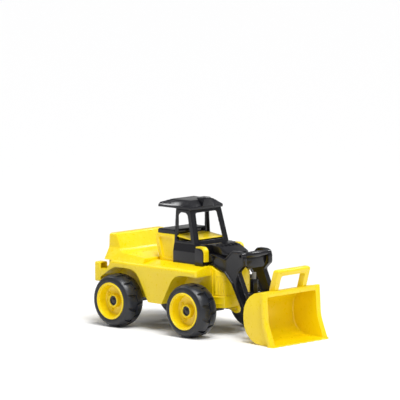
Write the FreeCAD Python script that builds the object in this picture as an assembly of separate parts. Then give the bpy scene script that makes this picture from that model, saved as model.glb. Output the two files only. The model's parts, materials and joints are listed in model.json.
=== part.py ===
import FreeCAD, Part
import math
import os

# Ride-on front loader for a small child, in millimetres.
# The front faces -Y, +X is the toy's own left side and +Z is up. The origin is on the floor,
# on the middle plane, half way between the bucket's lip and the rear bumper.
# "ahead" is a distance ahead of the front axle, so places behind that axle are negative.

# ---------------------------------------------------------------- layout
wheelbase = 342.0
front_reach = 356.0             # bucket lip ahead of the front axle
rear_reach = 112.0              # rear bumper behind the rear axle
overall_length = front_reach + wheelbase + rear_reach
front_axle_y = front_reach - overall_length / 2

# ---------------------------------------------------------------- wheels
wheel_diameter = 180.0
wheel_width = 80.0
track = 307.0                   # between the middle planes of two wheels of one axle
tyre_shoulder = 16.0
tyre_wall = 4.0
lug_count = 12
lug_height = 5.0
lug_root_width = 26.0           # at the shoulder
lug_tip_width = 16.0            # at the tread's middle
lug_skew = 12.0                 # how far a lug's tip leans round the tread
lug_gap = 5.0                   # clear band between the two rows of lugs
rim_diameter = 126.0
rim_lip = 7.5
rim_wall = 3.0
rim_dish_depth = 34.0
rim_proud = 2.0                 # how far the rim's lip stands out of the tyre's side
hub_boss_diameter = 44.0
hub_boss_set_back = 15.0        # from the rim's lip to the hub's face
hub_tube_diameter = 22.0
hub_cap_diameter = 33.0
hub_cap_wall = 2.0
hub_cap_set_back = 3.0
hub_cap_room = 1.5              # between the axle's end and the hub cap
nut_boss_circle = 78.0
nut_boss_diameter = 11.0
nut_boss_height = 5.0
nut_boss_count = 4
nut_boss_start = 60.0           # degrees round the axle

# ---------------------------------------------------------------- axles
axle_diameter = 10.0
running_clearance = 0.10        # radial, between an axle or pin and what turns on it
bush_wall = 3.0
bush_flange = 3.0
bush_flange_diameter = 26.0
bush_sleeve_length = 14.0
push_nut_diameter = 19.0
push_nut_length = 5.0
end_play = 0.5                  # between parts that turn side by side
axle_stub = 1.5                 # axle end standing out of its push nut
axle_block_width = 34.0         # along the toy's length
axle_block_across = 24.0        # relief in the middle of a block
axle_block_floor = 8.0          # below the axle

# ---------------------------------------------------------------- main body
shell_wall = 3.0
body_half_width = 153.0
centre_half_width = 80.0        # inner wall of the wheel wells
skirt_bottom = 96.0
arch_clearance = 21.0           # over the tyre
fender_lip = 20.0
deck_rise = 11.0                # from the fender's outer edge up to the deck
deck_half_width = 92.0
fender_front = 20.0             # ahead of the front axle
arch_shoulder = 9.0             # arch corner, inside the wheel's radius
arch_foot = 50.0                # arch foot, outside the wheel's radius
arch_corner_radius = 60.0
tail_arch_start = 23.0          # behind the rear axle, where the arch starts to fall
tail_shelf_drop = 42.0          # from the deck down to the shelf behind the seat
tail_shelf_start = 56.0         # behind the rear axle
tail_slope_run = 26.0
tail_bottom_drop = 46.0         # from the shelf down to the bumper's lower edge
bumper_depth = 29.0
bumper_round = 6.0
fender_round = 9.0
horn_height = 21.0
horn_width = 33.0
tray_thickness = 4.0

# ---------------------------------------------------------------- nose
nose_half_width = 78.0
nose_front_half_width = 60.0
nose_front = 66.0                # ahead of the front axle
nose_corner = 38.0
nose_bottom = 94.0
nose_top_drop = 22.0            # below the deck
band_height = 39.0
band_step = 4.0
nose_gap = 2.0
tower_half_width = 46.0

# ---------------------------------------------------------------- hood and cab
hood_half_width = 50.0
hood_rise = 66.0                # hood's top above the deck
hood_front_rise = 45.0
hood_slope_start = 30.0         # ahead of the front axle
hood_lip = 69.0                 # hood's front edge ahead of the front axle
shoulder_front = -14.0
shoulder_rise = 40.0
shoulder_round = 12.0
cab_front = -52.0
cab_rear = -146.0
cab_base_half_width = 83.0
cab_top_half_width = 75.0
cab_height = 115.0              # from the hood's top to the roof's lower edge
cab_lean = 29.0                 # how far the windscreen leans back
pillar = 15.0
cab_wall = 4.0
window_sill = 9.0
window_head = 12.0
window_round = 9.0
screen_post = 22.0
rear_post = 10.0
deck_front_height = 16.0        # cab floor moulding above the hood
deck_rear_height = 24.0
roof_front_overhang = 6.0
roof_rear = -225.0
roof_rise = 31.0
roof_side_overhang = 4.0
roof_slope = 26.0
roof_edge = 7.0
roof_round = 14.0
pod_width = 50.0
pod_length = 34.0
pod_rise = 6.0
pod_ahead = -70.0
pod_round = 6.0
pod_taper = 9.0
louvre_count = 5
louvre_length = 22.0
louvre_width = 9.0
louvre_pitch = 19.0
louvre_height = 3.0

# ---------------------------------------------------------------- console and seat
console_half_width = 80.0
console_rise = 91.0
console_length = 86.0
console_recess = 6.0
console_rim = 11.0
console_round = 6.0
console_nose = 30.0
console_undercut = 18.0
pad_round = 7.0
pad_thickness = 16.0
pad_inset = 4.0
seat_rise = 8.0
seat_round = 8.0
flank_rise = 30.0               # height over the deck where the seat's flank turns upright
flank_round = 22.0
backrest_foot = 60.0            # from the backrest's rear face to the bend at its foot
backrest_half_width = 120.0
backrest_rise = 78.0
backrest_thickness = 30.0
backrest_rear = 76.0            # behind the rear axle
seat_gap = 1.0                  # between the seat and the console

# ---------------------------------------------------------------- head lamps
lamp_inner = 77.0
lamp_round = 18.0
lamp_play = 0.5
lamp_back_gap = 0.5
bezel_set_back = 5.0
lamp_width = 20.0
lamp_cheek = 4.0
lamp_front = 7.0
lamp_length = 41.0
lamp_height = 49.0
lamp_base = 14.0

# ---------------------------------------------------------------- loader arms
arm_inner = 53.0
arm_thickness = 19.0
arm_pivot_ahead = 8.0
arm_pivot_rise = 26.0           # above the deck
arm_rim = 6.0                   # border around the pockets in an arm's faces
arm_pocket = 5.0
pivot_pin_diameter = 12.0
pivot_cap_diameter = 24.0
pivot_cap_length = 3.5
pivot_boss_diameter = 26.0
wrist_ahead = 178.0             # bucket pin ahead of the front axle
wrist_height = 78.0
wrist_boss_diameter = 24.0
# Corners of an arm's outline as (ahead, rise, rounding radius) from the lift pivot, over the
# top from the root to the notch under the elbow and down the shin's front edge.
arm_front_corners = [(-16, -14, 14), (-16, 16, 15), (82, 9, 25), (99, 33, 12), (151, 33, 24),
                     (151, -13, 12), (127, -36, 8), (151, -87, 40)]
# The same from the lift pivot for the rear edge, from the shin up to the knee.
arm_rear_corners = [(96, -77, 40), (64, -44, 10)]
# The same from the bucket pin, around the wrist.
wrist_corners = [(17, 17, 8), (17, -17, 16), (-17, -17, 16), (-17, 2, 8)]
cross_tube_diameter = 22.0
cross_tube_ahead = 138.0        # from the lift pivot
cross_tube_rise = 19.0
cross_plate_thickness = 6.0
cross_plate_height = 44.0
cross_plate_taper = 14.0
ram_diameter = 29.0
ram_rod_diameter = 14.0
ram_ahead = 134.0               # from the lift pivot
ram_length = 50.0
ram_rod_length = 22.0
lower_bar_diameter = 16.0
lower_bar_height = 66.0         # above the bucket pin

# ---------------------------------------------------------------- bucket
bucket_radius = 78.0
bucket_back = 206.0             # rearmost point of the bucket, ahead of the front axle
bucket_wall = 3.5
bucket_half_width = 122.0
bucket_rim_half_width = 141.5
bucket_rim_depth = 14.0
bucket_rim_top = 17.0
bucket_shoulder_height = 167.0
bucket_top_height = 178.0
bucket_top_ahead = 310.0
bucket_throat_ahead = 317.0
bucket_throat_height = 75.0
bucket_lip_ahead = 345.0
bucket_lip_height = 6.0
bucket_throat_radius = 110.0
tooth_count = 8
tooth_depth = 7.0
handle_half_width = 78.5
handle_leg = 20.0
handle_foot_ahead = 293.0       # middle of the legs where they meet the bucket
handle_thickness = 23.0
handle_height = 70.0
handle_lean = 20.0
handle_bar = 22.0
handle_round = 9.0
lug_inner = 40.0
lug_thickness = 9.0
lug_radius = 15.0
bucket_pin_diameter = 10.0
pin_cap_diameter = 20.0
pin_cap_length = 5.0
moving_gap = 0.5                # between faces that swing past each other

# ---------------------------------------------------------------- towing eye and screws
tow_plate_thickness = 12.0
tow_hole_diameter = 10.0
tow_ahead = 63.0
tow_height = 84.0
tow_plate_length = 50.0
tow_plate_radius = 13.0
screw_diameter = 4.0
screw_head_diameter = 8.0
screw_head_height = 2.5
screw_length = 22.0
block_screw_across = 50.0
block_screw_shift = 10.5        # from the axle, along the toy

# ---------------------------------------------------------------- worked-out places
axle_z = wheel_diameter / 2
wheel_radius = wheel_diameter / 2
fender_edge_z = wheel_diameter + arch_clearance
fender_top_z = fender_edge_z + fender_lip
deck_z = fender_top_z + deck_rise
hood_z = deck_z + hood_rise
roof_z = hood_z + cab_height
wheel_side = {"right": -1, "left": 1}
axle_ahead = {"front": 0.0, "rear": -wheelbase}
wheel_inner_x = (track - wheel_width) / 2
wheel_outer_x = (track + wheel_width) / 2
far = 1000.0                    # longer than the toy, for cuts that pass right through
tray_z = skirt_bottom
block_bottom = axle_z - axle_diameter / 2 - axle_block_floor


# ---------------------------------------------------------------- shape helpers
def at(ahead, height, across=0.0):
    """Point from its distance ahead of the front axle, its height and its place across."""
    return FreeCAD.Vector(across, front_axle_y - ahead, height)


def outline(corners):
    """Closed plane outline through points, each with the radius that rounds its corner."""
    count = len(corners)
    starts = []
    ends = []
    middles = []
    for i, (point, radius) in enumerate(corners):
        to_last = (corners[i - 1][0] - point).normalize()
        to_next = (corners[(i + 1) % count][0] - point).normalize()
        half = to_last.getAngle(to_next) / 2
        if radius > 0:
            reach = radius / math.tan(half)
            bisector = (to_last + to_next).normalize()
            starts.append(point + to_last * reach)
            ends.append(point + to_next * reach)
            middles.append(point + bisector * (radius / math.sin(half) - radius))
        else:
            starts.append(point)
            ends.append(point)
            middles.append(None)
    edges = []
    for i in range(count):
        if middles[i] is not None:
            edges.append(Part.Arc(starts[i], middles[i], ends[i]).toShape())
        following = starts[(i + 1) % count]
        if (following - ends[i]).Length > 1e-6:
            edges.append(Part.makeLine(ends[i], following))
    return Part.Wire(edges)


def side_plate(corners, x_from, x_to):
    """Side view outline of (ahead, height[, radius]) corners, drawn out across the toy."""
    points = [(at(c[0], c[1], x_from), c[2] if len(c) > 2 else 0.0) for c in corners]
    return Part.Face(outline(points)).extrude(FreeCAD.Vector(x_to - x_from, 0, 0))


def front_plate(corners, ahead_from, ahead_to):
    """Front view outline of (across, height[, radius]) corners, drawn out along the toy."""
    points = [(at(ahead_from, c[1], c[0]), c[2] if len(c) > 2 else 0.0) for c in corners]
    return Part.Face(outline(points)).extrude(FreeCAD.Vector(0, ahead_from - ahead_to, 0))


def plan_plate(corners, z_from, z_to):
    """Top view outline of (across, ahead[, radius]) corners, drawn upwards."""
    points = [(at(c[1], z_from, c[0]), c[2] if len(c) > 2 else 0.0) for c in corners]
    return Part.Face(outline(points)).extrude(FreeCAD.Vector(0, 0, z_to - z_from))


def block(across, ahead, height):
    """Box from its (low, high) limits across, ahead and in height."""
    corner = at(ahead[1], height[0], across[0])
    return Part.makeBox(across[1] - across[0], ahead[1] - ahead[0], height[1] - height[0], corner)


def cross_rod(diameter, ahead, height, x_from, x_to):
    """Round bar lying across the toy."""
    length = x_to - x_from
    return Part.makeCylinder(diameter / 2, length, at(ahead, height, x_from), FreeCAD.Vector(1, 0, 0))


def turned(profile, ahead, height, side):
    """Body of revolution about a cross axis from (radius, across) points, on one side."""
    points = [(at(ahead, height + p[0], side * p[1]), p[2] if len(p) > 2 else 0.0) for p in profile]
    face = Part.Face(outline(points))
    return face.revolve(at(ahead, height), FreeCAD.Vector(1, 0, 0), 360)


def joined(shapes):
    """One solid from several that overlap."""
    result = shapes[0].multiFuse(list(shapes[1:])) if len(shapes) > 1 else shapes[0]
    return result.removeSplitter()


def minus(shape, cutters):
    """What is left of a shape after all the cutters."""
    return shape.cut(Part.makeCompound(list(cutters))) if len(cutters) == 1 else shape.cut(list(cutters))


def mirrored(shape):
    """The same shape on the other side of the middle plane."""
    return shape.mirror(FreeCAD.Vector(0, 0, 0), FreeCAD.Vector(1, 0, 0))


def both_sides(shape):
    """The shape and its mirror image."""
    return [shape, mirrored(shape)]


# ---------------------------------------------------------------- wheels
bush_radius = axle_diameter / 2 + running_clearance + bush_wall
rim_plate_x = wheel_outer_x - rim_dish_depth
rim_lip_x = wheel_outer_x + rim_proud
hub_face_x = rim_lip_x - hub_boss_set_back
hub_recess = (bush_flange + end_play + push_nut_length + axle_stub + hub_cap_room
              + hub_cap_wall + hub_cap_set_back)
hub_floor_x = hub_face_x - hub_recess
push_nut_x = hub_floor_x + bush_flange + end_play
axle_end_x = push_nut_x + push_nut_length + axle_stub


def tyre_lugs(ahead, side):
    """Two rows of skewed chunky lugs, one row turned half a step from the other."""
    tread_radius = wheel_radius - lug_height
    edge = wheel_width / 2 - tyre_shoulder / 2
    middle = track / 2
    step = 360.0 / lug_count
    band = turned([(tread_radius - tyre_wall / 2, middle - edge),
                   (wheel_radius, middle - edge, lug_height / 2),
                   (wheel_radius, middle + edge, lug_height / 2),
                   (tread_radius - tyre_wall / 2, middle + edge)], ahead, axle_z, side)
    lugs = []
    for row, turn in ((-1, 0.0), (1, step / 2)):
        near = side * (middle + row * lug_gap / 2)
        out = side * (middle + row * wheel_width / 2)
        lug = plan_plate([(near, ahead + lug_skew - lug_tip_width / 2),
                          (near, ahead + lug_skew + lug_tip_width / 2),
                          (out, ahead + lug_root_width / 2), (out, ahead - lug_root_width / 2)],
                         axle_z, axle_z + wheel_diameter)
        for i in range(lug_count):
            copy = lug.copy()
            copy.rotate(at(ahead, axle_z), FreeCAD.Vector(1, 0, 0), turn + i * step)
            lugs.append(copy)
    return band.common(Part.makeCompound(lugs)).Solids


def tyre(ahead, side):
    """Hollow moulded tyre, closed on its inner side down to the hub bush."""
    tread_radius = wheel_radius - lug_height
    seat_radius = rim_diameter / 2
    step_radius = seat_radius - rim_wall
    shell = turned([(bush_radius, wheel_inner_x), (tread_radius, wheel_inner_x, tyre_shoulder),
                    (tread_radius, wheel_outer_x, tyre_shoulder), (seat_radius, wheel_outer_x),
                    (seat_radius, rim_plate_x), (step_radius, rim_plate_x),
                    (step_radius, wheel_inner_x + tyre_wall), (bush_radius, wheel_inner_x + tyre_wall)],
                   ahead, axle_z, side)
    inner_shoulder = tyre_shoulder - tyre_wall
    hollow = turned([(seat_radius + tyre_wall, wheel_inner_x + tyre_wall),
                     (tread_radius - tyre_wall, wheel_inner_x + tyre_wall, inner_shoulder),
                     (tread_radius - tyre_wall, wheel_outer_x - tyre_wall, inner_shoulder),
                     (seat_radius + tyre_wall, wheel_outer_x - tyre_wall)], ahead, axle_z, side)
    return joined([minus(shell, [hollow])] + tyre_lugs(ahead, side))


def rim(ahead, side):
    """Dished rim with a raised lip, a hub boss that hides the axle's end and four nut bosses."""
    lip_radius = rim_diameter / 2
    boss_radius = hub_boss_diameter / 2
    cap_radius = hub_cap_diameter / 2
    floor_x = rim_plate_x + rim_wall
    disc = turned([(bush_radius, wheel_inner_x + tyre_wall), (hub_tube_diameter / 2,
                                                              wheel_inner_x + tyre_wall),
                   (hub_tube_diameter / 2, rim_plate_x), (lip_radius, rim_plate_x),
                   (lip_radius, rim_lip_x, rim_lip / 3), (lip_radius - rim_lip, rim_lip_x, rim_lip / 3),
                   (lip_radius - rim_lip - rim_wall, floor_x, rim_wall), (boss_radius, floor_x, rim_wall),
                   (boss_radius, hub_face_x, rim_wall / 2), (cap_radius, hub_face_x),
                   (cap_radius, hub_floor_x), (bush_radius, hub_floor_x)], ahead, axle_z, side)
    bosses = []
    for i in range(nut_boss_count):
        turn = math.radians(nut_boss_start + i * 360.0 / nut_boss_count)
        reach = nut_boss_circle / 2
        start = floor_x - rim_wall / 2
        bosses.append(cross_rod(nut_boss_diameter, ahead + reach * math.cos(turn),
                                axle_z + reach * math.sin(turn),
                                *sorted((side * start, side * (floor_x + nut_boss_height)))))
    return joined([disc] + bosses)


def hub_cap(ahead, side):
    """Black cup that closes the hub over the push nut."""
    radius = hub_cap_diameter / 2
    face_x = hub_face_x - hub_cap_set_back
    return turned([(0.0, face_x - hub_cap_wall), (radius - hub_cap_wall, face_x - hub_cap_wall),
                   (radius - hub_cap_wall, hub_floor_x), (radius, hub_floor_x),
                   (radius, face_x, hub_cap_wall / 2),
                   (0.0, face_x)], ahead, axle_z, side)


def bush(ahead, side, face_x, outwards):
    """Flanged bush, its flange outside a wall whose face is at face_x."""
    bore = axle_diameter / 2 + running_clearance
    flange_x = face_x + outwards * bush_flange
    end_x = face_x - outwards * bush_sleeve_length
    return turned([(bore, flange_x), (bush_flange_diameter / 2, flange_x), (bush_flange_diameter / 2, face_x),
                   (bush_radius, face_x), (bush_radius, end_x), (bore, end_x)], ahead, axle_z, side)


def wheel_bushes(ahead, side):
    """The two bushes that a wheel turns on."""
    return Part.makeCompound([bush(ahead, side, hub_floor_x, 1), bush(ahead, side, wheel_inner_x, -1)])


# ---------------------------------------------------------------- axles
def axle(ahead):
    """Plain steel axle that the wheels turn on."""
    return cross_rod(axle_diameter, ahead, axle_z, -axle_end_x, axle_end_x)


def push_nuts():
    """Pressed nuts on the four axle ends."""
    nuts = []
    for ahead in axle_ahead.values():
        for side in wheel_side.values():
            nuts.append(turned([(axle_diameter / 2, push_nut_x), (push_nut_diameter / 2, push_nut_x, 1.0),
                                (push_nut_diameter / 2, push_nut_x + push_nut_length, 1.0),
                                (axle_diameter / 2, push_nut_x + push_nut_length)], ahead, axle_z, side))
    return Part.makeCompound(nuts)


def axle_spacers():
    """Tubes that keep the wheels away from the axle blocks."""
    bore = axle_diameter / 2 + running_clearance
    end_x = wheel_inner_x - bush_flange - end_play
    tubes = []
    for ahead in axle_ahead.values():
        for side in wheel_side.values():
            tubes.append(turned([(bore, centre_half_width), (bore + bush_wall, centre_half_width),
                                 (bore + bush_wall, end_x), (bore, end_x)], ahead, axle_z, side))
    return Part.makeCompound(tubes)


def screw(place, direction):
    """Pan head screw with its head standing on a face."""
    head = Part.makeCylinder(screw_head_diameter / 2, screw_head_height, place, direction)
    shank = Part.makeCylinder(screw_diameter / 2, screw_length, place, direction * -1)
    return joined([head, shank])


def block_screws(ahead):
    """Screws up through an axle block into the tray."""
    screws = []
    for across in (-block_screw_across, block_screw_across):
        for shift in (-block_screw_shift, block_screw_shift):
            screws.append(screw(at(ahead + shift, block_bottom, across), FreeCAD.Vector(0, 0, -1)))
    return screws


def axle_block(ahead):
    """Hanging block that clamps an axle under the tray."""
    half = axle_block_width / 2
    corner = axle_block_floor / 2
    body = side_plate([(ahead - half, tray_z), (ahead - half, block_bottom, corner),
                       (ahead + half, block_bottom, corner), (ahead + half, tray_z)],
                      -centre_half_width, centre_half_width)
    pockets = [block((-axle_block_across / 2, axle_block_across / 2), (ahead - far, ahead + far),
                     (block_bottom - far, axle_z - axle_diameter / 2 - shell_wall))]
    bore = cross_rod(axle_diameter, ahead, axle_z, -far, far)
    return minus(body, pockets + [bore] + block_screws(ahead))


# ---------------------------------------------------------------- main body
shelf_z = deck_z - tail_shelf_drop
tail_end = -wheelbase - rear_reach + bumper_depth - shell_wall
seat_rear = -wheelbase - backrest_rear


def arch(ahead, facing, grow=0.0):
    """Side view of a wheel arch: flat top, leg on the side towards the middle of the toy."""
    top = fender_edge_z + grow
    corner = wheel_radius - arch_shoulder + grow
    foot = wheel_radius + arch_foot + grow
    slope = (foot - corner) / (top - skirt_bottom)
    low = skirt_bottom - fender_lip
    leg = [(ahead + facing * corner, top, arch_corner_radius),
           (ahead + facing * (corner + slope * (top - low)), low)]
    if facing < 0:
        return [(ahead + far, low), (ahead + far, top)] + leg
    tail_low = shelf_z - tail_bottom_drop
    start = ahead - tail_arch_start
    fall = (top - tail_low) / (start + wheelbase + rear_reach)
    end = start - (top - low) / fall
    return [(end, low), (start, top, arch_corner_radius)] + leg


def fender_section(inset=0.0):
    """Front view of the full-width body: upright skirts under a gently crowned top."""
    side = body_half_width - inset
    return [(-side, skirt_bottom - inset), (-side, fender_top_z - inset, fender_round),
            (-deck_half_width, deck_z - inset),
            (deck_half_width, deck_z - inset), (side, fender_top_z - inset, fender_round),
            (side, skirt_bottom - inset)]


def fender_block(inset=0.0):
    """Full-width body with its sloped tail and rounded corners in plan, before it is hollowed."""
    front = fender_front - inset
    side = body_half_width - inset
    slope_end = -wheelbase - tail_shelf_start
    body = front_plate(fender_section(inset), front, tail_end + inset)
    sides = side_plate([(front, skirt_bottom - inset), (front, deck_z), (slope_end + tail_slope_run, deck_z),
                        (slope_end, shelf_z - inset, fender_round), (tail_end + inset, shelf_z - inset),
                        (tail_end + inset, skirt_bottom - inset)], -far, far)
    plan = plan_plate([(-side, front, fender_round), (side, front, fender_round), (side, tail_end + inset),
                       (-side, tail_end + inset)], 0, far)
    return body.common(sides).common(plan)


def main_body_outside():
    """Outer form of the main body: fenders, skirts and the raised middle under the seat."""
    middle = block((-backrest_half_width, backrest_half_width), (seat_rear, 0), (skirt_bottom, deck_z))
    core = block((-centre_half_width, centre_half_width), (tail_end, fender_front), (skirt_bottom, shelf_z))
    body = joined([fender_block(), middle.common(front_plate(fender_section(), 0, seat_rear)), core])
    wells = []
    for name, facing in (("front", -1), ("rear", 1)):
        opening = side_plate(arch(axle_ahead[name], facing), centre_half_width, far)
        wells += both_sides(opening)
    return minus(body, wells)


def main_body():
    """Moulded main body, open underneath, with a closed ceiling in each wheel well."""
    middle = block((shell_wall - centre_half_width, centre_half_width - shell_wall),
                   (seat_rear + shell_wall, fender_front - shell_wall), (0, deck_z - shell_wall))
    tail = block((shell_wall - centre_half_width, centre_half_width - shell_wall),
                 (tail_end + shell_wall, 0), (0, shelf_z - shell_wall))
    side_room = fender_block(shell_wall).common(
        block((centre_half_width, body_half_width), (-far, far), (0, deck_z)))
    for name, facing in (("front", -1), ("rear", 1)):
        side_room = minus(side_room, [side_plate(arch(axle_ahead[name], facing, shell_wall), 0, far)])
    return minus(main_body_outside(), [middle, tail] + both_sides(side_room))


def underbody_tray():
    """Flat tray that closes the main body from below."""
    plate = block((shell_wall - centre_half_width, centre_half_width - shell_wall),
                  (tail_end + shell_wall, fender_front - shell_wall), (tray_z, tray_z + tray_thickness))
    return minus(plate, block_screws(axle_ahead["front"]) + block_screws(axle_ahead["rear"]))


def rear_bumper():
    """Cross bar with a raised horn at each end, hollow towards the body."""
    back = -wheelbase - rear_reach
    low = shelf_z - tail_bottom_drop
    side = body_half_width
    inner = side - horn_width
    horn_z = shelf_z + horn_height

    def form(inset):
        return front_plate([(inset - side, low + inset, bumper_round),
                            (inset - side, horn_z - inset, bumper_round),
                            (-inner - inset, horn_z - inset, bumper_round), (-inner - inset, shelf_z - inset),
                            (inner + inset, shelf_z - inset), (inner + inset, horn_z - inset, bumper_round),
                            (side - inset, horn_z - inset, bumper_round),
                            (side - inset, low + inset, bumper_round)],
                           tail_end if inset == 0 else tail_end + far, back + inset)
    return minus(form(0.0), [form(shell_wall)])


# ---------------------------------------------------------------- nose
def nose_plan(inset, ahead_from):
    """Top view of the nose: straight sides and chamfered front corners."""
    side = nose_half_width - inset
    front = nose_front_half_width - inset
    return [(-side, ahead_from), (-side, nose_corner), (-front, nose_front - inset),
            (front, nose_front - inset), (side, nose_corner), (side, ahead_from)]


def nose():
    """Yellow nose with a stepped bumper band and the tower under the hood."""
    start = fender_front
    side_low = deck_z - nose_top_drop
    slope = side_plate([(start - far, deck_z + far), (start, deck_z - nose_gap), (nose_front, side_low),
                        (nose_front + far, side_low), (nose_front + far, deck_z + far)], -far, far)
    outer = minus(plan_plate(nose_plan(0.0, start), nose_bottom, deck_z), [slope])
    band = plan_plate(nose_plan(-band_step, start), nose_bottom, nose_bottom + band_height)
    tower_top = [(start, nose_bottom), (start, hood_underside(start)),
                 (hood_slope_start, hood_underside(hood_slope_start)),
                 (nose_front, hood_underside(nose_front)), (nose_front, nose_bottom)]
    tower = side_plate(tower_top, -tower_half_width, tower_half_width)
    room = minus(plan_plate(nose_plan(shell_wall, start), 0, deck_z),
                 [slope.translated(FreeCAD.Vector(0, 0, -shell_wall))])
    tower_room = side_plate([(start, nose_bottom - far), (start, hood_underside(start) - shell_wall),
                             (hood_slope_start, hood_underside(hood_slope_start) - shell_wall),
                             (nose_front - shell_wall, hood_underside(nose_front) - shell_wall),
                             (nose_front - shell_wall, nose_bottom - far)],
                            shell_wall - tower_half_width, tower_half_width - shell_wall)
    return minus(joined([outer, band, tower]), [room, tower_room])


def tow_eye():
    """Lug plate under the nose with the hole for a pull cord."""
    front = tow_ahead + tow_plate_radius
    plate = side_plate([(front - tow_plate_length, nose_bottom), (front - tow_plate_length, tow_height),
                        (tow_ahead, tow_height - tow_plate_radius),
                        (front, tow_height - tow_plate_radius, tow_plate_radius - 1),
                        (front, nose_bottom)], -tow_plate_thickness / 2, tow_plate_thickness / 2)
    return minus(plate, [cross_rod(tow_hole_diameter, tow_ahead, tow_height, -far, far)])


# ---------------------------------------------------------------- hood and cab
def hood_top(ahead):
    """Height of the hood's top at a place along the toy."""
    front_z = deck_z + hood_front_rise
    if ahead <= hood_slope_start:
        return hood_z
    return hood_z - (ahead - hood_slope_start) * (hood_z - front_z) / (hood_lip - hood_slope_start)


def hood_underside(ahead):
    """Height of the hood's underside, where the nose tower meets it."""
    return hood_top(ahead) - 2 * shell_wall


def hood_side(inset=0.0):
    """Front view of the hood's wide rear part: upright sides that lean in to the cab."""
    side = deck_half_width - inset - shell_wall
    top = cab_base_half_width - inset
    return [(-side, deck_z), (-side, deck_z + shoulder_rise - inset, shoulder_round), (-top, hood_z - inset),
            (top, hood_z - inset), (side, deck_z + shoulder_rise - inset, shoulder_round), (side, deck_z)]


def hood():
    """Black hood: a narrow snout between the arms, a wide body under the cab, and louvres."""
    snout = side_plate([(cab_front, deck_z), (cab_front, hood_z), (hood_slope_start, hood_z, shell_wall),
                        (hood_lip, hood_top(hood_lip)), (hood_lip, hood_top(hood_lip) - 2 * shell_wall),
                        (fender_front, deck_z)], -hood_half_width, hood_half_width)
    wide = front_plate(hood_side(), shoulder_front, cab_rear)
    lamp_back = lamp_front - lamp_length - lamp_back_gap
    corner = block((lamp_inner - lamp_play, far), (lamp_back, far), (0, far))
    wide = minus(wide, both_sides(corner))
    outer = joined([snout, wide])
    room = front_plate(hood_side(shell_wall), lamp_back - shell_wall, cab_rear + shell_wall)
    snout_room = block((shell_wall - hood_half_width, hood_half_width - shell_wall),
                       (cab_front, fender_front), (0, hood_z - 2 * shell_wall))
    tower_room = side_plate([(fender_front, 0), (fender_front, hood_underside(fender_front)),
                             (hood_slope_start, hood_underside(hood_slope_start)),
                             (nose_front, hood_underside(nose_front)), (nose_front, 0)],
                            -tower_half_width, tower_half_width)
    pivot = cross_rod(pivot_pin_diameter, arm_pivot_ahead, deck_z + arm_pivot_rise, -far, far)
    body = minus(outer, [room, snout_room, tower_room, pivot])
    louvres = []
    for i in range(louvre_count):
        across = (i - (louvre_count - 1) / 2) * louvre_pitch
        louvres.append(side_plate([(hood_slope_start - louvre_length, hood_z - shell_wall),
                                   (hood_slope_start - louvre_length, hood_z + louvre_height / 2),
                                   (hood_slope_start, hood_z + louvre_height, louvre_height),
                                   (hood_slope_start + louvre_height, hood_z - shell_wall)],
                                  across - louvre_width / 2, across + louvre_width / 2))
    return joined([body] + louvres)


def cab_ring(height, inset):
    """Plan outline of the cab at a height between its base and the roof."""
    share = (height - hood_z) / cab_height
    half = cab_base_half_width + (cab_top_half_width - cab_base_half_width) * share - inset
    front = cab_front - cab_lean * share - inset
    back = cab_rear + inset
    points = [(-half, front), (half, front), (half, back), (-half, back)]
    return outline([(at(p[1], height, p[0]), 0.0) for p in points])


def cab_form(inset, low, high):
    """Tapered solid of the cab between two heights."""
    return Part.makeLoft([cab_ring(low, inset), cab_ring(high, inset)], True, True)


def cab_frame():
    """One-piece cab frame: windscreen surround, rounded side windows and slim rear posts."""
    inside = cab_form(cab_wall, hood_z - shell_wall, roof_z + shell_wall)
    shell = minus(cab_form(0.0, hood_z, roof_z), [inside])
    lean = cab_lean / cab_height
    low = hood_z + window_sill
    high = roof_z - window_head
    windscreen = front_plate([(-cab_base_half_width + screen_post, low, window_round),
                              (-cab_top_half_width + screen_post, high, window_round),
                              (cab_top_half_width - screen_post, high, window_round),
                              (cab_base_half_width - screen_post, low, window_round)], cab_front + far,
                             cab_front - cab_lean - cab_wall * 2)
    side_window = side_plate([(cab_front - pillar - lean * window_sill, low, window_round),
                              (cab_front - pillar - lean * (high - hood_z), high, 2 * window_round),
                              (cab_rear + rear_post, high, 2 * window_round),
                              (cab_rear + rear_post, low, window_round)], -far, far)
    rear_opening = front_plate([(-cab_top_half_width + rear_post, low - window_sill / 2),
                                (-cab_top_half_width + rear_post, high, window_round),
                                (cab_top_half_width - rear_post, high, window_round),
                                (cab_top_half_width - rear_post, low - window_sill / 2)],
                               cab_rear + 2 * cab_wall, -far)
    return minus(shell, [windscreen, side_window, rear_opening])


def cab_deck():
    """Yellow floor moulding seen through the cab's windows."""
    inside = cab_form(cab_wall, hood_z, roof_z)
    front_z = hood_z + deck_front_height
    rear_z = hood_z + deck_rear_height
    bend = cab_front - cab_lean
    slab = side_plate([(cab_front, front_z - shell_wall), (cab_front, front_z), (bend, front_z),
                       (cab_rear, rear_z),
                       (cab_rear, rear_z - shell_wall), (bend, front_z - shell_wall)], -far, far)
    return inside.common(slab)


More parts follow.
